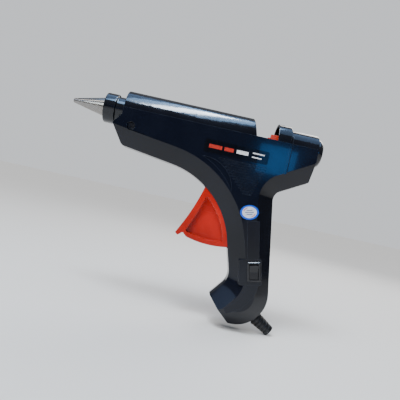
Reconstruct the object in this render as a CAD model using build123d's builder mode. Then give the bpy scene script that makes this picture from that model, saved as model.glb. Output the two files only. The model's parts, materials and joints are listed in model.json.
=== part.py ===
from build123d import *
import os
from math import cos, radians, sin

# Glue gun for 11 mm sticks. Millimetres, +Z up, +X along the barrel from the nozzle to the stick inlet.
# The origin is the centre of the stick inlet's mouth. -Y is the gun's left side, which carries the
# switch, the rating label and the round sticker. Stations are measured back from the nozzle tip.

LENGTH = 201.6  # nozzle tip to inlet mouth

# Housing shell
WALL = 2.2
FRONT_WALL = 2.7
STRIP_HALF = 6.8  # half width of the upright strip along the parting line
PANEL_Y = 17.0  # flat side panels
BARREL_R = 16.4  # half-round cover over the heater
BLOCK_TOP = 13.6  # rear block, lower than the arch in front of it
BARREL_FRONT = 43.5
WINDOW_REAR = 164.0
WINDOW_FLOOR = 1.0
ARCH_REAR = 174.9
BODY_REAR = 196.1
# The side of the shell slopes in from the parting strip: (distance in from the outline, depth)
FLANK = [(0, 0), (0.5, STRIP_HALF), (8.0, 13.0), (13.0, PANEL_Y)]
EDGE_R = 1.5  # rounding of the nose
GROOVES = 13
GROOVE_DEPTH = 0.6
PAD_TOP = 17.2  # depth of the raised pad around the switch

# Housing screws: station and height of each, and the depth of the seat under the head
SCREWS = [(52.0, -12.4), (114.0, -14.8), (156.8, -57.0)]
SCREW_R = 1.5
HEAD_R = 2.8
HEAD_SEAT = 12.2
COLUMN_R = 3.2

# Glue stick path
STICK_R = 5.6
GUIDE_R = STICK_R + 0.6  # trough that the stick lies in
INLET_BORE_R = STICK_R + 0.35
SPIGOT_R = 9.0  # inlet ring, where it sits in the housing

# Nozzle, melt chamber and sleeve
NECK_R = 10.3  # collar, where it sits in the housing
ORIFICE_R = 0.9
NOZZLE_SHANK_R = 4.6
CHAMBER_R = 9.5
CHAMBER_BORE = 5.9
SLEEVE_R = 8.5

# Heater under the chamber, from the top down: film, plate, ceramic, plate, film
HEATER_TOP = -12.0
FILM = 0.3
PLATE = 0.4
PTC = 2.5
STACK_TOP = HEATER_TOP - FILM
STACK_LOW = HEATER_TOP - 2 * FILM - 2 * PLATE - PTC

# Trigger and feed
PIVOT = (130.6, -15.0)  # station and height of the trigger pivot
PIVOT_R = 2.0
PULL = 18.0  # degrees
REST_LEAN = PULL / 2  # the arms lean back at rest and forward when pulled
ARM = 21.0  # pivot to drive pin
DRIVE_R = 1.5
TRIGGER_R = 74.2  # pivot to the trigger's lower edge
TRIGGER_HALF = 6.2
SLOT_HALF = 6.6
DRIVE_PIN = (PIVOT[0] + ARM * sin(radians(REST_LEAN)), PIVOT[1] + ARM * cos(radians(REST_LEAN)))
JAW_PIVOT = (154.0, -11.0)
JAW_PIN_R = 1.0
FIT = 0.05  # radial clearance of a running pin
SPRING_R = 2.5
SPRING_Z = -12.3
SPRING_ENDS = (162.6, 182.0)  # the carriage's pin and the housing's post

# Switch, set in the left side of the grip and turned to run along it
SWITCH = (167.7, -100.6)
GRIP_LEAN = 12.0
BEZEL = (10.5, 15.0)
SWITCH_BODY = (8.6, 13.0)
ROCKER_AXIS = 15.2  # depth of the rocker's hinge
ROCKER_TILT = 8.0
TERMINAL = 3.8  # switch centre to each terminal

# Cord entry at the heel of the grip
CORD_EXIT = (176.1, -136.6)
CORD_ANGLE = -31.5
CORD_R = 3.0
RELIEF_START = 4.0  # where the cone starts, clear of the curved heel
RELIEF_END = 19.0
RELIEF_NECK_R = 4.7
CLAMP_REACH = 6.5  # cord's centre to each clamp screw
CLAMP_SCREW_R = 1.0

# Leads
LEAD_R = 1.0
LEAD_Y = 8.2
LEAD_Z = -22.5  # the straight run under the barrel
CAPS = [(165.6, -120.0, 5.5), (160.0, -122.0, 5.5)]  # station, height and Y of each crimp cap
RUN_RADII = [20, 14, 14, 2.6, 2.6]

# Labels
LABEL = 0.15
LABEL_SIZE = (49.8, 9.9)
STICKER_AT = (154.6, -57.1)


def st(x):
    """X of a station measured back from the nozzle tip."""
    return x - LENGTH


def pt(x, z):
    """A point of the side view as a sketch point."""
    return (x - LENGTH, z)


def side(depth=0.0):
    """Plane of the side view, moved towards the left side by depth."""
    return Plane.XZ.offset(depth)


def across(x, z, depth=0.0):
    """Plane of the side view with its origin at a station and height."""
    return Plane(origin=(st(x), -depth, z), x_dir=(1, 0, 0), z_dir=(0, -1, 0))


def axial(x, z=0.0):
    """Plane across the barrel at a station, facing the rear."""
    return Plane(origin=(st(x), 0, z), x_dir=(0, 1, 0), z_dir=(1, 0, 0))


def finish(builder, name):
    builder.part.label = name
    export_step(builder.part, "parts/" + name + ".step")


def outline(inset, depth):
    """The gun's side outline, moved in by inset. It runs on past the nose, the top, the rear and the toe,
    where flat faces trim it."""
    corners = [
        pt(20, 40),
        pt(20, -24),
        pt(130.9, -39.9),
        pt(151.1, -111.3),
        pt(123.4, -146.3),
        pt(189.8, -146.2),
        pt(171.2, -39.0),
        pt(230, -5.8),
        pt(230, 40),
    ]
    saddle, flare, heel, web = 66, 14, 25, 8
    with BuildSketch(side(depth)) as region:
        with BuildLine():
            FilletPolyline(corners, radius=[0, 0, saddle, flare, 0, heel, web, 0, 0], close=True)
        make_face()
        if inset:
            offset(amount=-inset, kind=Kind.INTERSECTION)
    return region.sketch.face()


def inner_flank():
    """The flank moved in by the wall, with its corners where the moved lines cross."""
    moved = []
    for (a, b), (c, d) in zip(FLANK, FLANK[1:]):
        run = ((c - a) ** 2 + (d - b) ** 2) ** 0.5
        moved.append((a + WALL * (d - b) / run, b - WALL * (c - a) / run, (c - a) / run, (d - b) / run))
    layers = [(moved[0][0], 0)]
    for (a, b, u, v), (c, d, p, q) in zip(moved, moved[1:]):
        t = ((c - a) * q - (d - b) * p) / (u * q - v * p)
        layers.append((a + t * u, b + t * v))
    a, b, u, v = moved[-1]
    t = (PANEL_Y - WALL - b) / v
    layers.append((a + t * u, PANEL_Y - WALL))
    return layers


def stack(layers):
    sections = [outline(inset, depth) for inset, depth in layers]
    for near, far in zip(sections, sections[1:]):
        loft([near, far], ruled=True)


def trim_nose(back, edge):
    """Remove everything ahead of the nose: a flat face above, and a chin that juts forward below it."""
    with BuildSketch(side()) as nose:
        with BuildLine():
            FilletPolyline(
                [
                    pt(0, 60),
                    pt(BARREL_FRONT + back, 60),
                    pt(BARREL_FRONT + back, -4.5),
                    pt(37.6 + back, -12.3),
                    pt(45.4 + back, -26.2),
                    pt(50.4 + back, -29.6),
                    pt(50.4 + back, -60),
                    pt(0, -60),
                ],
                radius=[0, 0, edge, edge, 3, 0, 0, 0],
                close=True,
            )
        make_face()
    extrude(nose.sketch, amount=40, both=True, mode=Mode.SUBTRACT)


def trim_toe(back):
    """Remove what lies past the slanted front face of the grip's foot."""
    with BuildSketch(side()) as toe:
        with Locations(pt(138.9 + back * 0.71, -126.7 + back * 0.7)):
            Rectangle(80, 80, rotation=-45.3, align=(Align.CENTER, Align.MAX))
    extrude(toe.sketch, amount=40, both=True, mode=Mode.SUBTRACT)


def barrel_cover(radius, height, start, end):
    """Quarter-round cover of the left half, from one station to another."""
    with BuildSketch(axial(start)) as arch:
        Ellipse(radius, height)
        with Locations((0, -50)):
            Rectangle(200, 100, mode=Mode.SUBTRACT)
        with Locations((50, 0)):
            Rectangle(100, 200, mode=Mode.SUBTRACT)
    extrude(arch.sketch, amount=end - start)


def slab(x, y, z, mode=Mode.ADD):
    """A box from ranges of station, Y and height."""
    middle = (st((x[0] + x[1]) / 2), (y[0] + y[1]) / 2, (z[0] + z[1]) / 2)
    with Locations(middle):
        Box(x[1] - x[0], abs(y[1] - y[0]), z[1] - z[0], mode=mode)


def cross_rod(x, z, radius, near, far, mode=Mode.ADD):
    """A round rod or hole along Y, from one depth on the left side to another."""
    with BuildSketch(across(x, z, near)) as disc:
        Circle(radius)
    extrude(disc.sketch, amount=far - near, mode=mode)


def barrel_rod(radius, start, end, mode=Mode.ADD):
    """A round rod or hole along the barrel axis."""
    with BuildSketch(axial(start)) as disc:
        Circle(radius)
    extrude(disc.sketch, amount=end - start, mode=mode)


def turned(points):
    """A piece turned about the barrel axis from a half profile of (station, radius)."""
    with BuildSketch(side()) as profile:
        with BuildLine():
            Polyline([pt(x, r) for x, r in points], close=True)
        make_face()
    revolve(profile.sketch, axis=Axis.X)


def trim_above(height):
    with Locations((0, 0, height + 50)):
        Box(600, 100, 100, mode=Mode.SUBTRACT)


def trim_behind(station):
    with Locations((st(station) + 50, 0, 0)):
        Box(100, 100, 600, mode=Mode.SUBTRACT)


# --- Housing shells ---------------------------------------------------------------------------------


def half_body():
    """The solid outside of the left half."""
    with BuildPart() as half:
        stack(FLANK)
        trim_above(WINDOW_FLOOR)
        barrel_cover(BARREL_R, BARREL_R, BARREL_FRONT - 2, ARCH_REAR)
        barrel_cover(BARREL_R, BLOCK_TOP, ARCH_REAR - 1, BODY_REAR)
        trim_behind(BODY_REAR)
        trim_nose(0, EDGE_R)
        trim_toe(0)
    return half.part


def half_cavity():
    """The space inside the left half, a wall's thickness in from the outside."""
    with BuildPart() as half:
        stack(inner_flank())
        trim_above(WINDOW_FLOOR - 1)
        barrel_cover(BARREL_R - WALL, BARREL_R - WALL, BARREL_FRONT, ARCH_REAR)
        barrel_cover(BARREL_R - WALL, BLOCK_TOP - WALL, ARCH_REAR - 1, BODY_REAR)
        trim_behind(BODY_REAR - WALL)
        trim_nose(FRONT_WALL, EDGE_R)
        trim_toe(WALL)
    return half.part


def cooling_grooves():
    """Fine grooves along the panel, each shorter than the one above, in a triangle on its point."""
    for i in range(GROOVES):
        share = i / (GROOVES - 1)
        left = 123.0 + share * 23.4
        right = 160.4 - share * 7.6
        z = -21.7 - share * 22.4
        slab((left, right), (-PANEL_Y - 1, -PANEL_Y + GROOVE_DEPTH), (z - 0.4, z + 0.4), Mode.SUBTRACT)


def finger_recess():
    """Crescent let into the panel above the trigger."""
    with BuildSketch(side(PANEL_Y - GROOVE_DEPTH)) as crescent:
        with BuildLine():
            ThreePointArc(pt(110.5, -22.6), pt(126.0, -31.2), pt(137.5, -44.6))
            ThreePointArc(pt(137.5, -44.6), pt(128.6, -27.8), pt(110.5, -22.6))
        make_face()
    extrude(crescent.sketch, amount=3, mode=Mode.SUBTRACT)


def arch_groove():
    """Groove between the arch and the rear block."""
    start, end = ARCH_REAR - 0.8, ARCH_REAR + 0.8
    slab((start, end), (-PANEL_Y - 1, -PANEL_Y + 0.8), (-27.0, 2.0), Mode.SUBTRACT)
    with BuildSketch(axial(start)) as ring:
        Circle(BARREL_R + 3)
        Circle(BARREL_R - 0.8, mode=Mode.SUBTRACT)
        with Locations((0, -49)):
            Rectangle(200, 100, mode=Mode.SUBTRACT)
    extrude(ring.sketch, amount=end - start, mode=Mode.SUBTRACT)


def feed_window():
    with BuildSketch(side()) as opening:
        with BuildLine():
            Polyline(
                pt(143.0, 20),
                pt(147.6, WINDOW_FLOOR),
                pt(WINDOW_REAR, WINDOW_FLOOR),
                pt(WINDOW_REAR, 20),
                close=True,
            )
        make_face()
    extrude(opening.sketch, amount=40, both=True, mode=Mode.SUBTRACT)


def trigger_slot():
    """Sector about the trigger pivot, cut through the front of the grip."""
    front, rear = radians(-25.4), radians(17.0)
    near, far = 27.0, TRIGGER_R + 0.7

    def at(radius, angle):
        return pt(PIVOT[0] + radius * sin(angle), PIVOT[1] - radius * cos(angle))

    with BuildSketch(side(-SLOT_HALF)) as sector:
        with BuildLine():
            Line(at(near, front), at(far, front))
            ThreePointArc(at(far, front), at(far, 0), at(far, rear))
            Line(at(far, rear), at(near, rear))
            ThreePointArc(at(near, rear), at(near, 0), at(near, front))
        make_face()
    extrude(sector.sketch, amount=2 * SLOT_HALF, mode=Mode.SUBTRACT)


def barrel_rib(start, end, hole):
    """Rib across the barrel with a round hole that holds what lies on its axis."""
    with BuildSketch(axial(start)) as rib:
        Circle(BARREL_R - WALL + 0.8)
        Circle(hole, mode=Mode.SUBTRACT)
        with Locations((50, 0)):
            Rectangle(100, 200, mode=Mode.SUBTRACT)
    extrude(rib.sketch, amount=end - start)


def shell_half():
    """Everything that both shells have, made as the left one."""
    with BuildPart() as shell:
        add(half_body())
        add(cavity, mode=Mode.SUBTRACT)
        barrel_rib(48.8, 50.4, 9.0)
        barrel_rib(104.0, 106.5, SLEEVE_R + 0.1)
        for below, above in ((-1.2, 0.6), (-5.2, -3.4)):  # rails on which the carriage slides
            slab((140, 172), (-PANEL_Y + 1, -9.7), (below, above))
        cross_rod(*PIVOT, 4.2, 10.6, PANEL_Y - 1)
        cross_rod(*PIVOT, PIVOT_R + 0.03, 9, 14.2, Mode.SUBTRACT)
        barrel_rod(NECK_R + 0.3, 30, 46.4, Mode.SUBTRACT)
        barrel_rod(SPIGOT_R + 0.1, 190, 200, Mode.SUBTRACT)
        feed_window()
        trigger_slot()
        arch_groove()
        cooling_grooves()
        finger_recess()
        with BuildSketch(cord_plane(-8)) as hole:
            Circle(RELIEF_NECK_R + 0.1)
        extrude(hole.sketch, amount=20, mode=Mode.SUBTRACT)
    return shell.part


def cord_plane(along):
    """Plane across the cord's way out, facing outwards."""
    lean = radians(CORD_ANGLE)
    x = CORD_EXIT[0] + along * cos(lean)
    z = CORD_EXIT[1] + along * sin(lean)
    return Plane(origin=(st(x), 0, z), x_dir=(0, 1, 0), z_dir=(cos(lean), 0, sin(lean)))


os.makedirs("parts", exist_ok=True)
cavity = half_cavity()
common = shell_half()
cord_x, cord_z = cos(radians(CORD_ANGLE)), sin(radians(CORD_ANGLE))
clamp_centre = (CORD_EXIT[0] - 10 * cord_x, CORD_EXIT[1] - 10 * cord_z)
clamp_posts = [
    (clamp_centre[0] - s * CLAMP_REACH * cord_z, clamp_centre[1] + s * CLAMP_REACH * cord_x)
    for s in (-1, 1)
]
switch_plane = Plane(
    origin=(st(SWITCH[0]), 0, SWITCH[1]),
    x_dir=(cos(radians(GRIP_LEAN)), 0, sin(radians(GRIP_LEAN))),
    z_dir=(0, -1, 0),
)
with BuildPart() as raised:
    # spine down the grip, pad around the switch and the rib that curves from it to the toe
    with BuildSketch(switch_plane.offset(8)) as spine:
        with Locations((-0.6, 24.0)):
            Rectangle(9.2, 29.0)
    extrude(spine.sketch, amount=PANEL_Y + 0.6 - 8)
    with BuildSketch(switch_plane.offset(8)) as pad:
        with Locations((-2.8, -0.4)):
            RectangleRounded(17.6, 19.8, 1.2)
    extrude(pad.sketch, amount=PAD_TOP - 8)
    with BuildSketch(side(8)) as rib:
        with BuildLine():
            ThreePointArc(pt(164.6, -108.5), pt(161.0, -122.0), pt(150.6, -132.4))
            Line(pt(150.6, -132.4), pt(153.6, -136.2))
            ThreePointArc(pt(153.6, -136.2), pt(168.0, -125.0), pt(173.6, -108.0))
            Line(pt(173.6, -108.0), pt(164.6, -108.5))
        make_face()
    extrude(rib.sketch, amount=PANEL_Y + 0.1 - 8)
    add(cavity, mode=Mode.SUBTRACT)

with BuildPart() as left_housing:
    add(common)
    add(raised.part)
    # switch opening
    with BuildSketch(switch_plane.offset(4)) as opening:
        Rectangle(SWITCH_BODY[0] + 0.2, SWITCH_BODY[1] + 0.2)
    extrude(opening.sketch, amount=20, mode=Mode.SUBTRACT)
    # screw columns with sunk heads
    for x, z in SCREWS:
        cross_rod(x, z, 4.2, HEAD_SEAT - 2, PANEL_Y - 1)
        cross_rod(x, z, COLUMN_R, 0, HEAD_SEAT)
        cross_rod(x, z, SCREW_R + 0.25, -1, HEAD_SEAT + 1, Mode.SUBTRACT)
        cross_rod(x, z, HEAD_R + 0.2, HEAD_SEAT, PANEL_Y + 1, Mode.SUBTRACT)
    # post for the return spring
    cross_rod(SPRING_ENDS[1], SPRING_Z, 3.0, 4, PANEL_Y - 1)
    cross_rod(SPRING_ENDS[1], SPRING_Z, 1.4, -2, 5)
finish(left_housing, "left_housing")

with BuildPart() as right_housing:
    add(mirror(common, about=Plane.XZ))
    for x, z in SCREWS:
        cross_rod(x, z, COLUMN_R, -PANEL_Y + 1, 0)
        cross_rod(x, z, SCREW_R + 0.03, -12, 1, Mode.SUBTRACT)
    for x, z in clamp_posts:
        reach = 15.4 if z > CORD_EXIT[1] else 11.6
        cross_rod(x, z, 2.6, -reach, 2.6)
        cross_rod(x, z, CLAMP_SCREW_R + 0.03, -6, 3, Mode.SUBTRACT)
finish(right_housing, "right_housing")

with BuildPart() as housing_screws:
    for x, z in SCREWS:
        cross_rod(x, z, HEAD_R, HEAD_SEAT, HEAD_SEAT + 1.8)
        cross_rod(x, z, SCREW_R, -9, HEAD_SEAT)
        with BuildSketch(across(x, z, HEAD_SEAT + 0.8)) as cross:
            Rectangle(3.4, 0.7)
            Rectangle(0.7, 3.4)
        extrude(cross.sketch, amount=2, mode=Mode.SUBTRACT)
finish(housing_screws, "housing_screws")

# --- Nozzle and heater ------------------------------------------------------------------------------

with BuildPart() as nozzle:
    turned(
        [
            (0, ORIFICE_R),
            (0, 1.3),
            (0.5, 1.8),
            (26.6, 7.7),
            (29.2, 7.7),
            (29.2, NOZZLE_SHANK_R),
            (38.5, NOZZLE_SHANK_R),
            (38.5, 2.5),
            (7, 2.5),
            (3, ORIFICE_R),
        ]
    )
finish(nozzle, "nozzle")

with BuildPart() as nozzle_collar:
    turned(
        [
            (26.6, 7.9),
            (26.6, 11.3),
            (27.1, 11.8),
            (35.5, 11.8),
            (36.1, 11.2),
            (36.1, NECK_R),
            (46.25, NECK_R),
            (46.25, 12.3),
            (48.7, 12.3),
            (48.7, 8.3),
            (29.4, 8.3),
            (29.4, 7.9),
        ]
    )
finish(nozzle_collar, "nozzle_collar")

with BuildPart() as melt_chamber:
    turned(
        [
            (29.5, 0),
            (29.5, 8.2),
            (56, 8.2),
            (56, CHAMBER_R),
            (88, CHAMBER_R),
            (88, 7.0),
            (97, 7.0),
            (97, 0),
        ]
    )
    slab((57, 84), (-7, 7), (-12, -5))
    socket_r = NOZZLE_SHANK_R + 0.05
    bore_line = [(28, 0), (28, socket_r), (39, socket_r), (39, 2.5), (42, 2.5), (62, 5.8)]
    bore_line += [(98, CHAMBER_BORE), (98, 0)]
    with BuildSketch(side()) as bore:
        with BuildLine():
            Polyline([pt(x, r) for x, r in bore_line], close=True)
        make_face()
    revolve(bore.sketch, axis=Axis.X, mode=Mode.SUBTRACT)
    for i in range(5):
        start = 59 + i * 5.5
        with BuildSketch(axial(start)) as fin:
            Circle(CHAMBER_R + 1.1)
            Circle(CHAMBER_R - 0.5, mode=Mode.SUBTRACT)
            with Locations((0, -46)):
                Rectangle(200, 100, mode=Mode.SUBTRACT)
        extrude(fin.sketch, amount=1.6)
finish(melt_chamber, "melt_chamber")

with BuildPart() as heater_insulation:
    slab((58, 83), (-6.3, 6.3), (STACK_LOW, HEATER_TOP))
    slab((57, 84), (-6.0, 6.0), (STACK_LOW + FILM, STACK_TOP), Mode.SUBTRACT)
finish(heater_insulation, "heater_insulation")

with BuildPart() as heater_electrodes:
    for level, tab in ((STACK_TOP - PLATE, 3.0), (STACK_LOW + FILM, -3.0)):
        slab((58.5, 83.5), (-5.6, 5.6), (level, level + PLATE))
        slab((83.5, 89), (tab - 1.2, tab + 1.2), (level, level + PLATE))
finish(heater_electrodes, "heater_electrodes")

with BuildPart() as heater_stone:
    slab((59, 82), (-5.4, 5.4), (STACK_TOP - PLATE - PTC, STACK_TOP - PLATE))
finish(heater_stone, "heater_stone")

with BuildPart() as heater_clip:
    slab((61, 79), (-8.2, 8.2), (STACK_LOW - 0.8, STACK_LOW))
    for s in (-1, 1):
        slab((61, 79), (s * 7.1, s * 8.2), (STACK_LOW, -7.6))
        slab((66, 74), (s * 8.2, s * 9.6), (-8.4, -7.6))
finish(heater_clip, "heater_clip")

with BuildPart() as inlet_sleeve:
    turned(
        [
            (88.3, 7.05),
            (88.3, SLEEVE_R),
            (108.5, SLEEVE_R),
            (109.5, 7.6),
            (109.5, 6.4),
            (107.5, 5.75),
            (97.3, 5.75),
            (97.3, 7.05),
        ]
    )
finish(inlet_sleeve, "inlet_sleeve")

with BuildPart() as sleeve_clamp:
    turned([(91, SLEEVE_R + 0.03), (91, 9.3), (94.5, 9.3), (94.5, SLEEVE_R + 0.03)])
    for s in (-1, 1):
        slab((91, 94.5), (s * 0.7, s * 1.7), (9.0, 12.4))
    slab((90, 95), (-0.7, 0.7), (8.4, 10.5), Mode.SUBTRACT)
finish(sleeve_clamp, "sleeve_clamp")

# --- Feed -------------------------------------------------------------------------------------------

with BuildPart() as feed_carriage:
    with BuildSketch(axial(118)) as trough:
        Circle(7.8)
        with Locations((0, 49)):
            Rectangle(200, 100, mode=Mode.SUBTRACT)
    extrude(trough.sketch, amount=165 - 118)
    slab((159, 165), (-9.4, 9.4), (-9.0, 6.0))
    for s in (-1, 1):
        slab((147, 165), (s * 7.2, s * 10.9), (-3.2, -1.4))
        slab((DRIVE_PIN[0] - 3, DRIVE_PIN[0] + 3), (s * 6.4, s * 7.8), (-2.0, DRIVE_PIN[1] + 2.6))
        slab((151.0, 157.0), (s * 3.3, s * 5.8), (-13.4, -6.0))
        cross_rod(*DRIVE_PIN, DRIVE_R, s * 7.6, s * 10.4)
    slab((117, 166), (-GUIDE_R, GUIDE_R), (0, 20), Mode.SUBTRACT)
    barrel_rod(GUIDE_R, 117, 166, Mode.SUBTRACT)
    slab((142.5, 157.8), (-3.2, 3.2), (-14, -4), Mode.SUBTRACT)
    slab((160, 165), (-5.8, -3.0), (-14.8, -8.5))
    cross_rod(SPRING_ENDS[0], SPRING_Z, 1.2, -1.8, 3.5)
    cross_rod(*JAW_PIVOT, JAW_PIN_R + 0.03, -7, 7, Mode.SUBTRACT)
finish(feed_carriage, "feed_carriage")

with BuildPart() as jaw_pin:
    cross_rod(*JAW_PIVOT, JAW_PIN_R, -5.8, 5.8)
finish(jaw_pin, "jaw_pin")

with BuildPart() as clamp_jaw:
    with BuildSketch(side(-2.9)) as jaw:
        with BuildLine():
            Polyline(
                pt(144.3, -9.4),
                pt(144.3, -6.3),
                pt(145.6, -7.2),
                pt(146.2, -6.3),
                pt(147.5, -7.2),
                pt(148.1, -6.4),
                pt(149.6, -7.4),
                pt(156.4, -9.6),
                pt(156.4, -12.4),
                pt(152.6, -13.3),
                close=True,
            )
        make_face()
    extrude(jaw.sketch, amount=5.8)
    cross_rod(*JAW_PIVOT, JAW_PIN_R + FIT, -4, 4, Mode.SUBTRACT)
finish(clamp_jaw, "clamp_jaw")

with BuildPart() as trigger:
    tail = radians(13.5)
    waist = radians(7.0)
    with BuildSketch(side(-TRIGGER_HALF)) as blade:
        with BuildLine():
            Line(pt(126.5, -16.5), pt(117.6, -44.6))
            ThreePointArc(pt(117.6, -44.6), pt(111.3, -64.6), pt(101.9, -85.0))
            Line(pt(101.9, -85.0), pt(104.2, -86.8))
            Line(pt(104.2, -86.8), pt(107.9, -83.6))
            Line(pt(107.9, -83.6), pt(111.0, -86.56))
            ThreePointArc(
                pt(111.0, -86.56),
                pt(PIVOT[0], PIVOT[1] - TRIGGER_R),
                pt(PIVOT[0] + TRIGGER_R * sin(tail), PIVOT[1] - TRIGGER_R * cos(tail)),
            )
            Polyline(
                pt(PIVOT[0] + TRIGGER_R * sin(tail), PIVOT[1] - TRIGGER_R * cos(tail)),
                pt(PIVOT[0] + 49.6 * sin(waist), PIVOT[1] - 49.6 * cos(waist)),
                pt(134.8, -16.5),
                pt(126.5, -16.5),
            )
        make_face()
    extrude(blade.sketch, amount=2 * TRIGGER_HALF)
    for face in (-TRIGGER_HALF - 1, 1.6):
        with BuildSketch(side(face)) as pocket:
            with BuildLine():
                ThreePointArc(pt(120.4, -51.8), pt(133.1, -66.75), pt(140.3, -84.7))
                ThreePointArc(pt(140.3, -84.7), pt(125.0, -85.18), pt(109.6, -82.2))
                ThreePointArc(pt(109.6, -82.2), pt(115.9, -66.4), pt(120.4, -51.8))
            make_face()
            fillet(pocket.vertices(), 1.2)
        extrude(pocket.sketch, amount=TRIGGER_HALF + 1 - 1.6, mode=Mode.SUBTRACT)
    cross_rod(*PIVOT, 4.4, -10.2, 10.2)
    for near in (-10.2, 8.2):
        with BuildSketch(across(*PIVOT, near)) as arm:
            Circle(4.4)
            with Locations(Location((0, 0), -REST_LEAN)):
                with Locations((0, ARM / 2)):
                    Rectangle(6.4, ARM)
                with Locations((0, ARM)):
                    Circle(3.2)
                with Locations((0, ARM + 1.5)):
                    Rectangle(3.5, 4.0, mode=Mode.SUBTRACT)
                with Locations((0, ARM - 0.3)):
                    Circle(DRIVE_R + 0.25, mode=Mode.SUBTRACT)
        extrude(arm.sketch, amount=2.0)
    cross_rod(*PIVOT, PIVOT_R + FIT, -11, 11, Mode.SUBTRACT)
finish(trigger, "trigger")

with BuildPart() as trigger_pin:
    cross_rod(*PIVOT, PIVOT_R, -14.0, 14.0)
finish(trigger_pin, "trigger_pin")

with BuildPart() as return_spring:
    with BuildSketch(axial(165.4, SPRING_Z)) as coil:
        Circle(SPRING_R)
    extrude(coil.sketch, amount=179.2 - 165.4)
    with BuildSketch(axial(166, SPRING_Z)) as core:
        Circle(SPRING_R - 0.8)
    extrude(core.sketch, amount=178.6 - 166, mode=Mode.SUBTRACT)
    for x in SPRING_ENDS:
        with Locations(Location((st(x), 0, SPRING_Z), (90, 0, 0))):
            Torus(SPRING_R, 0.5)
finish(return_spring, "return_spring")

with BuildPart() as inlet_ring:
    with BuildSketch(side()) as profile:
        with BuildLine():
            Polyline(
                pt(201.6, 7.6),
                pt(201.6, INLET_BORE_R),
                pt(191.4, INLET_BORE_R),
                pt(191.4, 10.4),
                pt(193.8, 10.4),
                pt(193.8, SPIGOT_R),
                pt(196.15, SPIGOT_R),
                pt(196.15, 11.0),
                pt(197.4, 11.0),
            )
            ThreePointArc(pt(197.4, 11.0), pt(200.7, 9.9), pt(201.6, 7.6))
        make_face()
    revolve(profile.sketch, axis=Axis.X)
finish(inlet_ring, "inlet_ring")

# --- Switch -----------------------------------------------------------------------------------------

rocker_plane = Plane(
    origin=(st(SWITCH[0]), -ROCKER_AXIS, SWITCH[1]),
    x_dir=(-sin(radians(GRIP_LEAN)), 0, cos(radians(GRIP_LEAN))),
    z_dir=(cos(radians(GRIP_LEAN)), 0, sin(radians(GRIP_LEAN))),
)
with BuildPart() as switch_body:
    with BuildSketch(switch_plane.offset(PAD_TOP)) as bezel:
        RectangleRounded(*BEZEL, 1.0)
    extrude(bezel.sketch, amount=1.4)
    chamfer(switch_body.faces().sort_by(Axis.Y)[0].edges(), 0.5)
    with BuildSketch(switch_plane.offset(6)) as box:
        Rectangle(*SWITCH_BODY)
    extrude(box.sketch, amount=PAD_TOP - 6)
    with BuildSketch(switch_plane.offset(7.5)) as well:
        Rectangle(7.2, 12.2)
    extrude(well.sketch, amount=20, mode=Mode.SUBTRACT)
    with BuildSketch(rocker_plane.offset(-4.1)) as socket:
        Circle(0.85)
    extrude(socket.sketch, amount=8.2, mode=Mode.SUBTRACT)
finish(switch_body, "switch_body")

rocker_axis = Axis(rocker_plane.origin, rocker_plane.z_dir)
with BuildPart() as switch_rocker:
    with BuildSketch(rocker_plane.offset(-3.4)) as key:
        with BuildLine():
            Polyline((-5.5, -1.6), (-5.5, 3.2), (0, 2.2), (5.5, 3.2), (5.5, -1.6), (0, -3.0), close=True)
        make_face()
    extrude(key.sketch.rotate(rocker_axis, ROCKER_TILT), amount=6.8)
    with BuildSketch(rocker_plane.offset(-4)) as trunnion:
        Circle(0.8)
    extrude(trunnion.sketch, amount=8)
finish(switch_rocker, "switch_rocker")

with BuildPart() as switch_terminals:
    for s in (-1, 1):
        with BuildSketch(switch_plane.offset(0.2)) as blade_end:
            with Locations((0, s * TERMINAL)):
                Rectangle(4.8, 0.8)
        extrude(blade_end.sketch, amount=6 - 0.2)
finish(switch_terminals, "switch_terminals")


def switch_point(u, v, y):
    """A point given along and across the switch, in the row's frame."""
    c, s = cos(radians(GRIP_LEAN)), sin(radians(GRIP_LEAN))
    return (st(SWITCH[0]) + u * c - v * s, y, SWITCH[1] + u * s + v * c)


# --- Wiring and cord entry --------------------------------------------------------------------------


def lead(points, radii):
    with BuildLine() as path:
        FilletPolyline(points, radius=radii)
    with BuildSketch(Plane(origin=path.line @ 0, z_dir=path.line % 0)) as section:
        Circle(LEAD_R)
    sweep(section.sketch, path=path.line)


def at3(x, y, z):
    return (st(x), y, z)


with BuildPart() as supply_lead:
    end = switch_point(0, -TERMINAL, 0.1)
    x, z, y = CAPS[0]
    lead([at3(x, y, z), at3(x, y, z + 8), (end[0], y, end[2]), end], [2.5, 2.5])
finish(supply_lead, "supply_lead")


def run_to_heater(y, tab_y, tab_z):
    """Route up the back of the grip and along under the barrel to a heater tab."""
    return [
        at3(163.6, y, -58.0),
        at3(162.0, y, -42.0),
        at3(146.0, y, LEAD_Z),
        at3(97.0, y, LEAD_Z),
        at3(94.0, tab_y, tab_z),
        at3(89.2, tab_y, tab_z),
    ]


with BuildPart() as switched_lead:
    start = switch_point(0, TERMINAL, 0.1)
    lead(
        [start, (start[0], 4.0, start[2]), at3(163.8, 4.0, -90.0), at3(164.2, -LEAD_Y, -82.0)]
        + run_to_heater(-LEAD_Y, -3.0, -15.4),
        [1.6, 2.0, 3.0] + RUN_RADII,
    )
finish(switched_lead, "switched_lead")

with BuildPart() as neutral_lead:
    x, z, y = CAPS[1]
    lead(
        [at3(x, y, z), at3(x, y, z + 9), at3(162.6, LEAD_Y, -94.0)]
        + run_to_heater(LEAD_Y, 3.0, -12.5),
        [10, 20] + RUN_RADII,
    )
finish(neutral_lead, "neutral_lead")

with BuildPart() as lead_sleeving:
    for y in (-LEAD_Y, LEAD_Y):
        with BuildSketch(Plane(origin=at3(101, y, LEAD_Z), z_dir=(1, 0, 0))) as tube:
            Circle(LEAD_R + 0.6)
            Circle(LEAD_R + 0.05, mode=Mode.SUBTRACT)
        extrude(tube.sketch, amount=24)
finish(lead_sleeving, "lead_sleeving")

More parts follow.
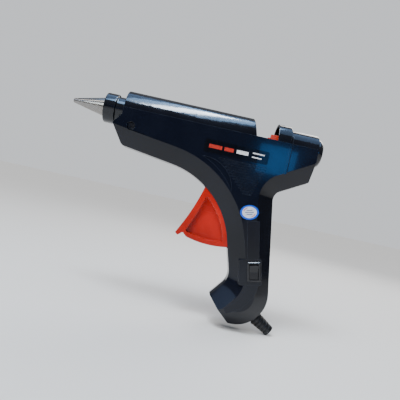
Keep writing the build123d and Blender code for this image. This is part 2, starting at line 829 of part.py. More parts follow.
with BuildPart() as crimp_caps:
    for x, z, y in CAPS:
        with BuildSketch(Plane(origin=at3(x, y, z + 1.5), z_dir=(0, 0, -1))) as cap:
            Circle(2.3)
        extrude(cap.sketch, amount=8.5)
        with BuildSketch(Plane(origin=at3(x, y, z), z_dir=(0, 0, 1))) as mouth:
            Circle(LEAD_R + 0.05)
        extrude(mouth.sketch, amount=4, mode=Mode.SUBTRACT)
finish(crimp_caps, "crimp_caps")

with BuildPart() as strain_relief:
    with BuildSketch(cord_plane(-6.2)) as flange:
        Circle(RELIEF_NECK_R + 1.9)
    extrude(flange.sketch, amount=2.0)
    with BuildSketch(cord_plane(-4.2)) as neck:
        Circle(RELIEF_NECK_R)
    extrude(neck.sketch, amount=RELIEF_START + 4.2)
    with BuildSketch(cord_plane(RELIEF_START)) as root:
        Circle(5.4)
    with BuildSketch(cord_plane(RELIEF_END)) as end:
        Circle(CORD_R + 1.2)
    loft([root.sketch.face(), end.sketch.face()])
    for i in range(4):
        with BuildSketch(cord_plane(RELIEF_START + 1.8 + i * 3.0)) as gap:
            Circle(8)
            Circle(4.4 - i * 0.2, mode=Mode.SUBTRACT)
        extrude(gap.sketch, amount=1.2, mode=Mode.SUBTRACT)
    with BuildSketch(cord_plane(-7)) as cord_hole:
        Circle(CORD_R)
    extrude(cord_hole.sketch, amount=30, mode=Mode.SUBTRACT)
finish(strain_relief, "strain_relief")

clamp_plane = Plane(
    origin=(st(clamp_centre[0]), 0, clamp_centre[1]), x_dir=(cord_x, 0, cord_z), z_dir=(0, -1, 0)
)
with BuildPart() as cord_clamp:
    with BuildSketch(clamp_plane.offset(2.7)) as bar:
        RectangleRounded(5.0, 18.5, 1.5)
    extrude(bar.sketch, amount=2.6)
    for s in (-1, 1):
        with BuildSketch(clamp_plane.offset(2)) as hole:
            with Locations((0, s * CLAMP_REACH)):
                Circle(CLAMP_SCREW_R + 0.25)
        extrude(hole.sketch, amount=5, mode=Mode.SUBTRACT)
finish(cord_clamp, "cord_clamp")

with BuildPart() as clamp_screws:
    for x, z in clamp_posts:
        cross_rod(x, z, 2.1, 5.35, 6.8)
        cross_rod(x, z, CLAMP_SCREW_R, -5, 5.35)
        with BuildSketch(across(x, z, 6.0)) as cross:
            Rectangle(2.6, 0.6)
            Rectangle(0.6, 2.6)
        extrude(cross.sketch, amount=2, mode=Mode.SUBTRACT)
finish(clamp_screws, "clamp_screws")

# --- Labels -----------------------------------------------------------------------------------------

with BuildPart() as rating_label:
    with BuildSketch(side(PANEL_Y)) as plate:
        with Locations(pt(135.0, -14.2)):
            RectangleRounded(*LABEL_SIZE, 1.2)
    extrude(plate.sketch, amount=LABEL)
finish(rating_label, "rating_label")

with BuildPart() as round_sticker:
    with BuildSketch(side(PANEL_Y)) as disc:
        with Locations(pt(*STICKER_AT)):
            Ellipse(7.1, 5.6, rotation=12.6)
    extrude(disc.sketch, amount=LABEL)
finish(round_sticker, "round_sticker")
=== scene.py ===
import json
from math import cos, pi, radians, sin

import bmesh
import bpy
from mathutils import Matrix, Vector, kdtree


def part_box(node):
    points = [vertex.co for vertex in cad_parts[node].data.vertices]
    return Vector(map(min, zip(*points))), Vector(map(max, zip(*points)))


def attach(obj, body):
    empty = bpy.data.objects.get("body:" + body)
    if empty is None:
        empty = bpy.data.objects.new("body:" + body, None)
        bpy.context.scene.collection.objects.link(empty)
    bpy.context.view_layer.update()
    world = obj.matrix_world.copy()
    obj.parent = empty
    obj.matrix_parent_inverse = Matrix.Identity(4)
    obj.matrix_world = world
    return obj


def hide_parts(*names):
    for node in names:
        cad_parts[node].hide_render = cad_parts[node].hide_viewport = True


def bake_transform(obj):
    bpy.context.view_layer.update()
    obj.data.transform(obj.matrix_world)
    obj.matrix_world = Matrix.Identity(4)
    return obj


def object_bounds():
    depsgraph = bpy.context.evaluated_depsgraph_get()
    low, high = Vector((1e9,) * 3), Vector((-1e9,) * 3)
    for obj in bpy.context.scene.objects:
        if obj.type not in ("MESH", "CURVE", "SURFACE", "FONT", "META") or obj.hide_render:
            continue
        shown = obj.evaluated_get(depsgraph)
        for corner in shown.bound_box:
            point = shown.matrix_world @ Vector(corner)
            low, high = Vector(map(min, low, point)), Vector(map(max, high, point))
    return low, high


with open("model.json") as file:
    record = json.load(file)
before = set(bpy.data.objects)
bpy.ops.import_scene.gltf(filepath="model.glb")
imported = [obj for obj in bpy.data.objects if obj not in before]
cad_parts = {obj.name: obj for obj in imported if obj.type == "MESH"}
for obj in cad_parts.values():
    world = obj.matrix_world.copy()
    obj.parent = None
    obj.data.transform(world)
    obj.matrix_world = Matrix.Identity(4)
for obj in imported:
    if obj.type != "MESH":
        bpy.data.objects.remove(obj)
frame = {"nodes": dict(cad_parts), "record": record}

# A glue gun, in metres, in the row's frame: +X back along the barrel, +Z up, -Y the gun's left side.
MM = 0.001
scene = bpy.context.scene
nodes = frame["nodes"]
bodies = frame["record"]["behaviour"]["bodies"]
body_of = {node: body for body, members in bodies.items() for node in members}
slot_of = {part["node"]: part["material_slot"] for part in frame["record"]["subparts"]}
cad_box = [list(corner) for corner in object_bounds()]
low, high = (Vector(corner) for corner in cad_box)
middle = (low + high) / 2


def placed(name, data):
    """A new object in the scene, holding that mesh, lamp or camera."""
    made = bpy.data.objects.new(name, data)
    scene.collection.objects.link(made)
    return made


# --- Camera -------------------------------------------------------------------------------------------

CAMERA_X, CAMERA_Y, CAMERA_Z = -0.0858, -0.340, -0.0561
ROLL = 0.2197  # radians about its line of sight, so the barrel runs slightly downhill
camera = placed("camera", bpy.data.cameras.new("camera"))
camera.data.lens = 38.2
camera.data.sensor_width = 36
camera.data.clip_start = 0.01
camera.matrix_world = Matrix(
    (
        (cos(ROLL), -sin(ROLL), 0, CAMERA_X),
        (0, 0, -1, CAMERA_Y),
        (sin(ROLL), cos(ROLL), 0, CAMERA_Z),
        (0, 0, 0, 1),
    )
)
scene.camera = camera

# --- Light --------------------------------------------------------------------------------------------


def facing(direction):
    """The turn that points a lamp along a direction."""
    return Vector(direction).to_track_quat("-Z", "Y").to_euler()


def softbox(name, place, aim, size, power, colour):
    """A rectangular lamp that the camera doesn't see."""
    lamp = bpy.data.lights.new(name, "AREA")
    lamp.shape = "RECTANGLE"
    lamp.size, lamp.size_y = size
    lamp.energy = power
    lamp.color = colour
    box = placed(name, lamp)
    box.location = place
    box.rotation_euler = facing(Vector(aim) - Vector(place))
    box.visible_camera = False
    return box


WARM = (1.0, 0.98, 0.95)
SUN = 2.6
SUN_X, SUN_Y, SUN_Z = 0.35, 0.62, -1.15  # the way its light goes
sun = placed("sun", bpy.data.lights.new("sun", "SUN"))
sun.data.energy = SUN
sun.data.angle = radians(40)
sun.data.color = WARM
sun.rotation_euler = facing((SUN_X, SUN_Y, SUN_Z))
sun.visible_glossy = False

BARREL = (-0.10, 0, 0)
NOZZLE = (-0.178, 0, 0)
# Lamps that show only in reflections: name, place, aim, size, power and colour. The first three make the
# highlight on the barrel: a bright core in a wider blue glow, over a long faint strip.
CARDS = [
    ("core", (-0.150, -0.16, 0.58), BARREL, (0.085, 0.50), 9.0, (0.88, 0.95, 1.0)),
    ("glow", (-0.145, -0.14, 0.60), BARREL, (0.27, 0.62), 8.0, (0.36, 0.62, 1.0)),
    ("strip", (-0.10, -0.04, 0.66), BARREL, (0.90, 0.62), 5.0, (0.30, 0.55, 1.0)),
    ("glint", (-0.54, -0.20, 0.46), NOZZLE, (0.07, 0.16), 0.30, (1.0, 1.0, 1.0)),
    ("tip_glint", (-0.448, -0.325, 0.150), (-0.178, -0.007, 0), (0.05, 0.16), 0.24, (0.85, 0.95, 1.0)),
    ("toe_sheen", (-0.732, -0.396, 0.318), (-0.048, -0.015, -0.124), (0.16, 0.22), 0.16, (0.40, 0.58, 1.0)),
    ("sheen", (0.06, -1.10, 0.12), (-0.10, 0, -0.03), (1.00, 0.62), 0.35, (0.12, 0.30, 1.0)),
    ("panel_blue", (0.069, -0.70, 0.074), (-0.03, 0, -0.02), (0.084, 0.068), 0.14, (0.03, 0.34, 1.0)),
]
for card in CARDS:
    softbox(*card).visible_diffuse = False

# Lamps that light the gun and the floor. Only the last one also shows in reflections.
softbox("key", (-0.22, -0.30, 0.60), BARREL, (0.20, 0.16), 3.0, (0.80, 0.90, 1.0)).visible_glossy = False
softbox("left_fill", (-0.70, -0.60, 0.15), middle, (0.4, 0.5), 1.6, (0.70, 0.84, 1.0)).visible_glossy = False
softbox("back_rim", (0.30, 0.55, 0.45), middle, (0.5, 0.4), 3.0, WARM)

# --- Floor and surroundings ---------------------------------------------------------------------------

PALE = 0.80  # the floor's own brightness
REACH = 8.0
floor_mesh = bpy.data.meshes.new("floor")
floor_mesh.from_pydata(
    [(-REACH, -REACH, 0), (REACH, -REACH, 0), (REACH, REACH, 0), (-REACH, REACH, 0)], [], [(0, 1, 2, 3)]
)
floor = placed("floor", floor_mesh)
floor.location = (middle.x, middle.y, low.z)

SKY = (0.93, 0.96, 1.0, 1)
HORIZON, RISE = 0.10, 0.36  # brightness of the surroundings at the horizon, and how much brighter the top is
SUN_DOWN = -SUN_Z / (SUN_X**2 + SUN_Y**2 + SUN_Z**2) ** 0.5  # share of the sun's strength that the floor gets
DOME = HORIZON + RISE * 2 / 3  # what the surroundings give the floor, which counts the top for more
FAR_FLOOR = PALE * (DOME + SUN * SUN_DOWN / pi)  # how bright the floor looks far away
world = bpy.data.worlds.new("studio")
scene.world = world
world.use_nodes = True
tree = world.node_tree
tree.nodes.clear()
direction = tree.nodes.new("ShaderNodeTexCoord")
axes = tree.nodes.new("ShaderNodeSeparateXYZ")
climb = tree.nodes.new("ShaderNodeMapRange")
climb.inputs["To Min"].default_value = HORIZON
climb.inputs["To Max"].default_value = HORIZON + RISE
around = tree.nodes.new("ShaderNodeBackground")
around.inputs["Color"].default_value = SKY
seen = tree.nodes.new("ShaderNodeBackground")  # what shows past the floor's edge, as bright as the floor
seen.inputs["Color"].default_value = SKY
seen.inputs["Strength"].default_value = FAR_FLOOR
path = tree.nodes.new("ShaderNodeLightPath")
mix = tree.nodes.new("ShaderNodeMixShader")
out = tree.nodes.new("ShaderNodeOutputWorld")
for source, target in (
    (direction.outputs["Generated"], axes.inputs[0]),
    (axes.outputs["Z"], climb.inputs["Value"]),
    (climb.outputs["Result"], around.inputs["Strength"]),
    (path.outputs["Is Camera Ray"], mix.inputs[0]),
    (around.outputs[0], mix.inputs[1]),
    (seen.outputs[0], mix.inputs[2]),
    (mix.outputs[0], out.inputs[0]),
):
    tree.links.new(source, target)

# --- Materials ----------------------------------------------------------------------------------------

EDGE_GAIN = 8.0  # how fast wear and the painted edge highlight set in where a rounded normal turns away from the face
WORN_AND_LIT_WIDTH = 0.5  # millimetres from an edge that handling reaches, and that the painted edge highlight covers
WORN_AND_LIT_SHARE, STAIN_SHARE = 0.55, 0.6  # of the worn colour, which also paints an edge highlight, or of the stained colour where there is most of it
RUB_DULLS, SCRATCH_DULLS, STAIN_DULLS = 0.10, 0.06, 0.10  # roughness that each of them adds


class Look:
    """A procedural material in the making. Coordinates are the row's own, in metres."""

    def __init__(self, name, colour, roughness, metallic=0.0, **fixed):
        self.material = bpy.data.materials.new(name)
        self.material.use_nodes = True
        self.tree = self.material.node_tree
        self.shader = self.tree.nodes["Principled BSDF"]
        self.shader.inputs["Base Color"].default_value = (*colour, 1)
        self.shader.inputs["Roughness"].default_value = roughness
        self.shader.inputs["Metallic"].default_value = metallic
        for key, value in fixed.items():
            self.shader.inputs[key.replace("_", " ")].default_value = value
        self.place = self.node("ShaderNodeTexCoord").outputs["Object"]
        self.bump = None

    def node(self, kind, **settings):
        made = self.tree.nodes.new(kind)
        for key, value in settings.items():
            setattr(made, key, value)
        return made

    def link(self, source, target):
        """Join a socket to an input, or set the input to a number."""
        if isinstance(source, (int, float)):
            target.default_value = source
        else:
            self.tree.links.new(source, target)

    def math(self, operation, a, b=0.0):
        made = self.node("ShaderNodeMath", operation=operation)
        for value, socket in zip((a, b), made.inputs):
            self.link(value, socket)
        return made.outputs[0]

    def times(self, a, b):
        return self.math("MULTIPLY", a, b)

    def noise(self, size, detail, stretch=(1, 1, 1)):
        """Noise from 0 to 1 with lumps of about that many millimetres, longer or shorter along an axis."""
        mapping = self.node("ShaderNodeMapping")
        mapping.inputs["Scale"].default_value = [1 / (size * MM * factor) for factor in stretch]
        self.link(self.place, mapping.inputs["Vector"])
        made = self.node("ShaderNodeTexNoise")
        made.inputs["Scale"].default_value = 1.0
        made.inputs["Detail"].default_value = detail
        self.link(mapping.outputs[0], made.inputs["Vector"])
        return made.outputs["Fac"]

    def band(self, value, start, end, to_start=0.0, to_end=1.0, smooth=False):
        """A value from start to end, mapped onto to_start to to_end and held there outside."""
        made = self.node("ShaderNodeMapRange")
        if smooth:
            made.interpolation_type = "SMOOTHSTEP"
        for source, socket in zip((value, start, end, to_start, to_end), made.inputs):
            self.link(source, socket)
        return made.outputs[0]

    def until(self, value, start, end, smooth=False):
        """1 up to start, then falling to 0 at end."""
        return self.band(value, start, end, 1.0, 0.0, smooth)

    def blend(self, factor, first, second):
        """A colour between two colours, each a triple or a socket."""
        made = self.node("ShaderNodeMix", data_type="RGBA")
        self.link(factor, made.inputs["Factor"])
        for colour, socket in zip((first, second), (made.inputs[6], made.inputs[7])):
            if isinstance(colour, tuple):
                socket.default_value = (*colour, 1)
            else:
                self.link(colour, socket)
        return made.outputs[2]

    def edges(self, radius):
        """From 0 on a face to 1 on its edges, over that many millimetres: where handling has worn them and
        where an edge highlight is painted.
        """
        rounded = self.node("ShaderNodeBevel", samples=4)
        rounded.inputs["Radius"].default_value = radius * MM
        flat = self.node("ShaderNodeNewGeometry").outputs["Normal"]
        alike = self.node("ShaderNodeVectorMath", operation="DOT_PRODUCT")
        self.link(rounded.outputs[0], alike.inputs[0])
        self.link(flat, alike.inputs[1])
        bend = self.math("SUBTRACT", 1.0, alike.outputs["Value"])
        return self.math("MINIMUM", self.times(bend, EDGE_GAIN), 1.0)

    def height(self, value, depth):
        """Add relief of that many millimetres."""
        made = self.node("ShaderNodeBump")
        made.inputs["Strength"].default_value = 1.0
        made.inputs["Distance"].default_value = depth * MM
        self.link(value, made.inputs["Height"])
        if self.bump:
            self.link(self.bump, made.inputs["Normal"])
        self.bump = made.outputs[0]
        self.link(self.bump, self.shader.inputs["Normal"])

    def paint(self, colour):
        self.link(colour, self.shader.inputs["Base Color"])

    def dull(self, value):
        self.link(value, self.shader.inputs["Roughness"])


def scaled(colour, factor, lift=0.0):
    """A colour made darker or brighter."""
    return tuple(min(1, channel * factor + lift) for channel in colour)


def moulded(name, colour, roughness, edge_wear_and_highlight, relief=0.0012, **fixed):
    """A moulded plastic: faint cloudiness, polish that varies, fine scratches, and rubbed edges in a lighter
    colour that is partly wear and partly a painted edge highlight.
    """
    look = Look(name, colour, roughness, **fixed)
    cloud = look.band(look.noise(38, 4), 0.35, 0.68)
    mottled = look.blend(cloud, scaled(colour, 0.72), scaled(colour, 1.22, 0.002))
    patches = look.band(look.noise(6, 5), 0.42, 0.72, 0.4, 1.0)
    worn_and_lit_edges = look.times(look.edges(WORN_AND_LIT_WIDTH), patches)
    # The rubbed edges take a lighter colour: partly wear, partly a painted edge highlight.
    look.paint(look.blend(look.times(worn_and_lit_edges, WORN_AND_LIT_SHARE), mottled, edge_wear_and_highlight))
    scratches = look.band(look.noise(1.2, 2, (14, 14, 0.6)), 0.62, 0.70)
    handling = look.band(look.noise(22, 5), 0.40, 0.72, roughness * 0.82, roughness * 1.45)
    marks = look.math("ADD", look.times(scratches, SCRATCH_DULLS), look.times(worn_and_lit_edges, RUB_DULLS))
    look.dull(look.math("ADD", handling, marks))
    look.height(look.noise(0.9, 3), relief)
    look.height(look.noise(11, 2), relief * 3)
    return look


def metal(name, colour, roughness, stretch, stained, grain=0.35, relief=0.004):
    """A metal with stains and with machining or drawing marks, long along the axes with a large stretch."""
    look = Look(name, colour, roughness, 1.0)
    lines = look.noise(grain, 4, stretch)
    stain = look.band(look.noise(7, 6), 0.45, 0.75)
    drawn = look.blend(lines, scaled(colour, 0.86), colour)
    look.paint(look.blend(look.times(stain, STAIN_SHARE), drawn, stained))
    polish = look.band(lines, 0.3, 0.7, roughness * 0.7, roughness * 1.35)
    look.dull(look.math("ADD", polish, look.times(stain, STAIN_DULLS)))
    look.height(lines, relief)
    return look


def gloss(level, coat, coat_roughness):
    """The shader's inputs for a shine of that level under a clear coat."""
    return {"Specular_IOR_Level": level, "Coat_Weight": coat, "Coat_Roughness": coat_roughness}


MILKY = {"Subsurface_Weight": 0.12, "Subsurface_Scale": 0.002}  # light goes a little way into the plastic
# Material slot: colour, roughness, colour of the rubbed edges (wear plus painted edge highlight), what
# differs from a plain moulding.
PLASTICS = {
    "housing_plastic": ((0.0014, 0.0024, 0.0070), 0.13, (0.062, 0.075, 0.105), gloss(0.20, 0.22, 0.04)),
    "collar_plastic": ((0.0014, 0.0022, 0.0060), 0.12, (0.06, 0.07, 0.08), gloss(0.28, 0.35, 0.04)),
    "trigger_plastic": ((0.50, 0.009, 0.0006), 0.20, (0.80, 0.22, 0.16), gloss(0.22, 0.15, 0.06) | MILKY),
    "feed_plastic": ((0.66, 0.045, 0.012), 0.32, (0.85, 0.40, 0.30), MILKY),
    "jaw_plastic": ((0.42, 0.016, 0.012), 0.35, (0.7, 0.3, 0.25), {}),
    "switch_plastic": ((0.004, 0.004, 0.006), 0.18, (0.12, 0.12, 0.13), gloss(0.3, 0.3, 0.05)),
    "relief_rubber": (
        (0.006, 0.006, 0.008),
        0.40,
        (0.05, 0.05, 0.05),
        {"relief": 0.006, "Specular_IOR_Level": 0.35},
    ),
    "silicone": ((0.42, 0.05, 0.025), 0.50, (0.55, 0.12, 0.08), {}),
    "ceramic": ((0.16, 0.155, 0.15), 0.65, (0.3, 0.3, 0.3), {"relief": 0.02}),
    "crimp_nylon": ((0.66, 0.62, 0.50), 0.40, (0.8, 0.78, 0.7), {}),
    "brown_insulation": ((0.10, 0.035, 0.014), 0.40, (0.2, 0.1, 0.06), {}),
    "blue_insulation": ((0.012, 0.05, 0.24), 0.40, (0.1, 0.2, 0.5), {}),
    "insulation_film": ((0.40, 0.16, 0.02), 0.25, (0.5, 0.3, 0.1), {}),
    "glass_sleeving": ((0.62, 0.58, 0.46), 0.75, (0.7, 0.68, 0.6), {"relief": 0.06}),
}
# Material slot: colour, roughness, stretch of the marks, colour of the stains, and what differs.
METALS = {
    "black_steel": ((0.055, 0.055, 0.06), 0.35, (1, 8, 1), (0.10, 0.09, 0.08), {}),
    "nozzle_metal": (
        (0.29, 0.275, 0.262),
        0.17,
        (0.12, 30, 30),
        (0.17, 0.14, 0.11),
        {"grain": 4, "relief": 0.0006},
    ),
    "cast_aluminium": ((0.60, 0.60, 0.59), 0.45, (1, 1, 1), (0.40, 0.37, 0.33), {"relief": 0.03}),
    "electrode_metal": ((0.72, 0.52, 0.22), 0.30, (12, 0.4, 1), (0.45, 0.30, 0.14), {}),
    "spring_steel": ((0.56, 0.56, 0.57), 0.25, (1, 8, 1), (0.36, 0.32, 0.28), {}),
    "zinc_steel": ((0.62, 0.62, 0.64), 0.30, (1, 8, 1), (0.42, 0.40, 0.34), {}),
}
looks = {name: moulded(name, *row, **extra) for name, (*row, extra) in PLASTICS.items()}
looks |= {name: metal(name, *row, **extra) for name, (*row, extra) in METALS.items()}

# --- Printed film: the rating label and the round sticker ---------------------------------------------


def printed(name, base, **fixed):
    """A thin film with a slightly uneven gloss, to be painted with its print."""
    look = Look(name, base, 0.2, **fixed)
    look.dull(look.band(look.noise(14, 4), 0.35, 0.7, 0.14, 0.30))
    look.height(look.noise(0.8, 3), 0.003)
    return look


def axes_of(look):
    """X and Z of the point that is shaded."""
    split = look.node("ShaderNodeSeparateXYZ")
    look.link(look.place, split.inputs[0])
    return split.outputs["X"], split.outputs["Z"]


def millimetres(look, end, start):
    """The way from start to end along one axis, in millimetres."""
    return look.times(look.math("SUBTRACT", end, start), 1 / MM)


FEATHER = 0.06  # millimetres to both sides of a bar's edge over which it fades


def bar(look, x, z, left, right, top, bottom):
    """1 inside a rectangle of the label, given in millimetres from its upper left corner."""
    edges = []
    for value, start, end in ((x, left, right), (z, top, bottom)):
        edges.append(look.band(value, start - FEATHER, start + FEATHER, smooth=True))
        edges.append(look.until(value, end - FEATHER, end + FEATHER, smooth=True))
    product = edges[0]
    for edge in edges[1:]:
        product = look.times(product, edge)
    return product


RED, WHITE = (0.46, 0.036, 0.022), (0.78, 0.79, 0.82)
# Left, right, top and bottom of each bar on the label, and its colour.
BARS = [
    (3.4, 13.6, 3.4, 6.2, RED),
    (15.4, 22.6, 3.4, 6.2, RED),
    (25.0, 34.0, 3.4, 6.2, WHITE),
    (37.2, 46.4, 2.8, 3.7, WHITE),
    (37.2, 44.6, 5.9, 6.8, WHITE),
]


def label_film():
    """Black film with a row of plain printed bars."""
    label_low, label_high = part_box("rating_label")
    label = printed("label_film", (0.006, 0.006, 0.008), **gloss(0.14, 0.12, 0.04))
    x, z = axes_of(label)
    x = millimetres(label, x, label_low.x)
    z = millimetres(label, label_high.z, z)
    cloud = label.band(label.noise(16, 4), 0.3, 0.7)
    colour = label.blend(cloud, (0.0010, 0.0010, 0.0016), (0.0024, 0.0024, 0.0034))
    speckle = label.band(label.noise(0.5, 3), 0.30, 0.42)  # thin spots in the ink
    for left, right, top, bottom, ink in BARS:
        shape = bar(label, x, z, left, right, top, bottom)
        colour = label.blend(label.times(shape, speckle), colour, ink)
    label.paint(colour)
    return label


TILT = radians(12.6)  # the print on the sticker climbs to the back
HALF_WIDTH, HALF_HEIGHT = 7.1, 5.6  # millimetres from the sticker's centre to where the radius counts as 1
PAPER = ((0.60, 0.64, 0.76), (0.78, 0.80, 0.86))
RIM_BLUE, ARC_RED, LINE_INK = (0.008, 0.085, 0.58), (0.55, 0.04, 0.05), (0.10, 0.12, 0.24)
# Where the rim and the arcs start and end, as a stretch of the radius over which their edge fades.
RIM_START, ARC_START, ARC_END = (0.76, 0.80), (0.58, 0.61), (0.67, 0.70)
CORNER = (0.10, 0.14)  # along times over, from which a point counts as in one of the two corners
LINES = [(-0.26, 0.30), (0.0, 0.46), (0.26, 0.30)]  # height and half length of each line
LINE_EDGE, LINE_FADE = (0.045, 0.075), 0.03  # half its thickness, and how far its end fades


def sticker_film():
    """Pale film with a blue rim, two red arcs and three plain lines between them."""
    sticker_low, sticker_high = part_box("round_sticker")
    centre = (sticker_low + sticker_high) / 2
    sticker = printed("sticker_film", (0.7, 0.73, 0.82))
    x, z = axes_of(sticker)
    x = millimetres(sticker, x, centre.x)
    z = millimetres(sticker, z, centre.z)
    along_x, along_z = sticker.times(x, cos(TILT) / HALF_WIDTH), sticker.times(z, sin(TILT) / HALF_WIDTH)
    over_x, over_z = sticker.times(x, sin(TILT) / HALF_HEIGHT), sticker.times(z, cos(TILT) / HALF_HEIGHT)
    along = sticker.math("ADD", along_x, along_z)
    over = sticker.math("SUBTRACT", over_z, over_x)
    square = sticker.math("ADD", sticker.times(along, along), sticker.times(over, over))
    radius = sticker.math("SQRT", square)
    colour = sticker.blend(sticker.band(sticker.noise(3, 4), 0.35, 0.7), *PAPER)
    rim = sticker.band(radius, *RIM_START, smooth=True)
    colour = sticker.blend(rim, colour, RIM_BLUE)
    corners = sticker.band(sticker.times(along, sticker.times(over, -1.0)), *CORNER)
    ring = sticker.times(sticker.band(radius, *ARC_START), sticker.until(radius, *ARC_END))
    colour = sticker.blend(sticker.times(corners, ring), colour, ARC_RED)
    aside = sticker.math("ABSOLUTE", along)
    for level, reach in LINES:
        across = sticker.math("ABSOLUTE", sticker.math("SUBTRACT", over, level))
        thin = sticker.until(across, *LINE_EDGE)
        short = sticker.until(aside, reach, reach + LINE_FADE)
        colour = sticker.blend(sticker.times(thin, short), colour, LINE_INK)
    sticker.paint(colour)
    return sticker


looks["label_film"] = label_film()
looks["sticker_film"] = sticker_film()
for name, node in nodes.items():
    for slot in node.material_slots:
        slot.material = looks[slot_of[name]].material

# --- Pieces with worked edges -------------------------------------------------------------------------

SHARP = 33  # degrees between two faces from which their edge shades as a crease
# Width in millimetres and angle in degrees: in a face wider than that, corner normals lean no more than that.
# The facets of curves are narrower than all of these.
BROAD = [(7.0, 0.5), (1.0, 8.0)]
SAME_POINT = 0.001 * MM  # distance up to which two points become one
SAME_PLANE = 0.6  # degrees up to which two faces become one
HARD = 35  # degrees between two faces from which their edge is rounded
FOLD = 140  # degrees from which a bevel has folded over
ROUNDS = 6  # tries at a bevel without folds
CLEAR = 3  # bevel widths around a fold within which edges stay unrounded
PROBE = 0.5 * MM  # step along an edge where its distance to the folds is taken


def through(mesh, kind, **settings):
    """A mesh with one modifier applied to it."""
    scratch = placed("scratch", mesh)
    modifier = scratch.modifiers.new("step", kind)
    for key, value in settings.items():
        setattr(modifier, key, value)
    result = bpy.data.meshes.new_from_object(scratch.evaluated_get(bpy.context.evaluated_depsgraph_get()))
    bpy.data.objects.remove(scratch)
    return result


def flatten(mesh):
    """Give each broad flat face its own normal at the corners where a rounded edge ends and bends it."""
    normals = [Vector(corner.vector) for corner in mesh.corner_normals]
    for face in mesh.polygons:
        points = [mesh.vertices[index].co for index in face.vertices]
        longest = max((b - a).length for a, b in zip(points, points[1:] + points[:1]))
        width = face.area / longest / MM
        bent = next((angle for least, angle in BROAD if width > least), 180)
        for corner in face.loop_indices:
            if normals[corner].angle(face.normal) > radians(bent):
                normals[corner] = face.normal.copy()
    mesh.normals_split_custom_set(normals)


def finished(mesh, name, node):
    """Link a mesh as the piece that stands for a CAD node."""
    mesh.shade_smooth()
    mesh.set_sharp_from_angle(angle=radians(SHARP))
    mesh = through(mesh, "WEIGHTED_NORMAL", keep_sharp=True, weight=80)
    flatten(mesh)
    piece = placed(name, mesh)
    mesh.materials.clear()
    mesh.materials.append(looks[slot_of[node]].material)
    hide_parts(node)
    return piece


def bevelled(mesh, width):
    """A mesh with the edges that carry a weight rounded by a bevel of that many millimetres."""
    return through(
        mesh,
        "BEVEL",
        width=width * MM,
        segments=2,
        limit_method="WEIGHT",
        use_clamp_overlap=False,
        loop_slide=False,
        miter_outer="MITER_ARC",
    )


def bends(edge, degrees):
    """Whether two faces meet at an edge with more than that many degrees between them."""
    return len(edge.link_faces) == 2 and edge.calc_face_angle() > radians(degrees)


def folded(mesh):
    """The places where faces of a mesh fold back onto each other."""
    work = bmesh.new()
    work.from_mesh(mesh)
    work.normal_update()
    places = [(edge.verts[0].co + edge.verts[1].co) / 2 for edge in work.edges if bends(edge, FOLD)]
    work.free()
    return places


def softened(node, width):
    """A CAD node's shape with its hard edges rounded. An edge without room for the bevel stays as it is."""
    work = bmesh.new()
    work.from_mesh(nodes[node].data)
    bmesh.ops.remove_doubles(work, verts=work.verts, dist=SAME_POINT)
    bmesh.ops.dissolve_limit(work, angle_limit=radians(SAME_PLANE), verts=work.verts, edges=work.edges)
    work.normal_update()
    weight = work.edges.layers.float.new("bevel_weight_edge")
    for edge in work.edges:
        edge[weight] = float(bends(edge, HARD))
    for _ in range(ROUNDS):
        mesh = bpy.data.meshes.new(node + "_fine")
        work.to_mesh(mesh)
        for stale in ("custom_normal", "sharp_face", "sharp_edge"):
            if stale in mesh.attributes:
                mesh.attributes.remove(mesh.attributes[stale])
        mesh = bevelled(mesh, width)
        faults = folded(mesh)
        if not faults:
            break
        near = kdtree.KDTree(len(faults))
        for i, place in enumerate(faults):
            near.insert(place, i)
        near.balance()
        for edge in work.edges:
            if edge[weight]:
                start, end = (vertex.co for vertex in edge.verts)
                steps = max(2, int((end - start).length / PROBE))
                nearest = min(near.find(start.lerp(end, step / steps))[2] for step in range(steps + 1))
                if nearest < CLEAR * width * MM:
                    edge[weight] = 0.0
    work.free()
    return mesh


# Nodes with hard edges to round, and the width of the bevel in millimetres.
SOFT_EDGES = {
    "left_housing": 0.32,
    "right_housing": 0.32,
    "nozzle_collar": 0.30,
    "nozzle": 0.12,
    "inlet_ring": 0.25,
    "trigger": 0.60,
    "feed_carriage": 0.30,
    "switch_rocker": 0.30,
    "switch_body": 0.15,
    "strain_relief": 0.18,
    "housing_screws": 0.12,
    "clamp_jaw": 0.15,
}
for node, width in SOFT_EDGES.items():
    piece = finished(softened(node, width), node + "_fine", node)
    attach(piece, body_of[node])

# --- Return spring ------------------------------------------------------------------------------------


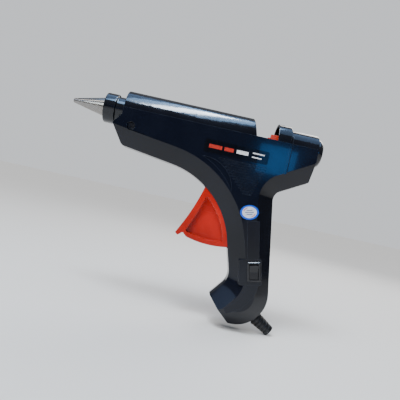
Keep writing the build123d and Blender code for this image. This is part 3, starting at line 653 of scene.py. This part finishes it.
def tube(points, radius, sides, name):
    """A round wire through the points, closed at both ends."""
    work = bmesh.new()
    rings = []
    ahead = (points[1] - points[0]).normalized()
    side = ahead.orthogonal().normalized()
    for i, point in enumerate(points):
        following = points[min(i + 1, len(points) - 1)]
        before = points[max(i - 1, 0)]
        ahead = (following - before).normalized()
        side = (side - ahead * side.dot(ahead)).normalized()
        other = ahead.cross(side)
        ring = []
        for j in range(sides):
            turn = 2 * pi * j / sides
            ring.append(work.verts.new(point + radius * (side * cos(turn) + other * sin(turn))))
        rings.append(ring)
    for near, far in zip(rings, rings[1:]):
        for j in range(sides):
            k = (j + 1) % sides
            work.faces.new((near[j], near[k], far[k], far[j]))
    work.faces.new(list(reversed(rings[0])))
    work.faces.new(rings[-1])
    bmesh.ops.recalc_face_normals(work, faces=work.faces)
    mesh = bpy.data.meshes.new(name)
    work.to_mesh(mesh)
    work.free()
    return mesh


WIRE, SIDES = 0.32 * MM, 8  # radius of the wire, and the corners of its section
COIL = 2.15 * MM  # radius of the coil, to the middle of the wire
TURNS, STEPS = 15, 20  # turns of the coil, and points of a turn or a loop
HOOK = 2.5 * MM  # radius of the end loops
HOOK_IN = 3.0 * MM  # from each end of the spring's box to the middle of its loop
SHANK = 2.9 * MM  # from the middle of a loop to the coil
FRONT_START, BACK_START = -pi * 0.95, pi - pi * 0.1  # where each loop begins along the wire
SWEEP = 1.85 * pi  # how far round each loop goes
spring_low, spring_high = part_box("return_spring")
axis_y, axis_z = (spring_low.y + spring_high.y) / 2, (spring_low.z + spring_high.z) / 2
hook_front = spring_low.x + HOOK_IN
hook_back = spring_high.x - HOOK_IN
coil_start, coil_end = hook_front + SHANK, hook_back - SHANK


def loop_point(centre_x, angle):
    """A point of an end loop, which lies in the plane of the gun's side view."""
    return Vector((centre_x + HOOK * cos(angle), axis_y, axis_z + HOOK * sin(angle)))


# The front loop hooks over the carriage's pin, then comes the coil, then the loop on the body's post.
wire = [loop_point(hook_front, FRONT_START + SWEEP * i / STEPS) for i in range(STEPS + 1)]
for i in range(TURNS * STEPS + 1):
    share = i / (TURNS * STEPS)
    angle = 2 * pi * TURNS * share
    x = coil_start + share * (coil_end - coil_start)
    wire.append(Vector((x, axis_y + COIL * sin(angle), axis_z + COIL * cos(angle))))
wire += [loop_point(hook_back, BACK_START - SWEEP * i / STEPS) for i in range(STEPS + 1)]
spring = finished(tube(wire, WIRE, SIDES, "return_spring_coil"), "return_spring_coil", "return_spring")
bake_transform(spring)

# --- The floor's finish -------------------------------------------------------------------------------

paper = Look("floor_paper", (PALE, PALE, PALE), 0.75)
paper.height(paper.noise(4, 4), 0.01)
floor_mesh.materials.append(paper.material)
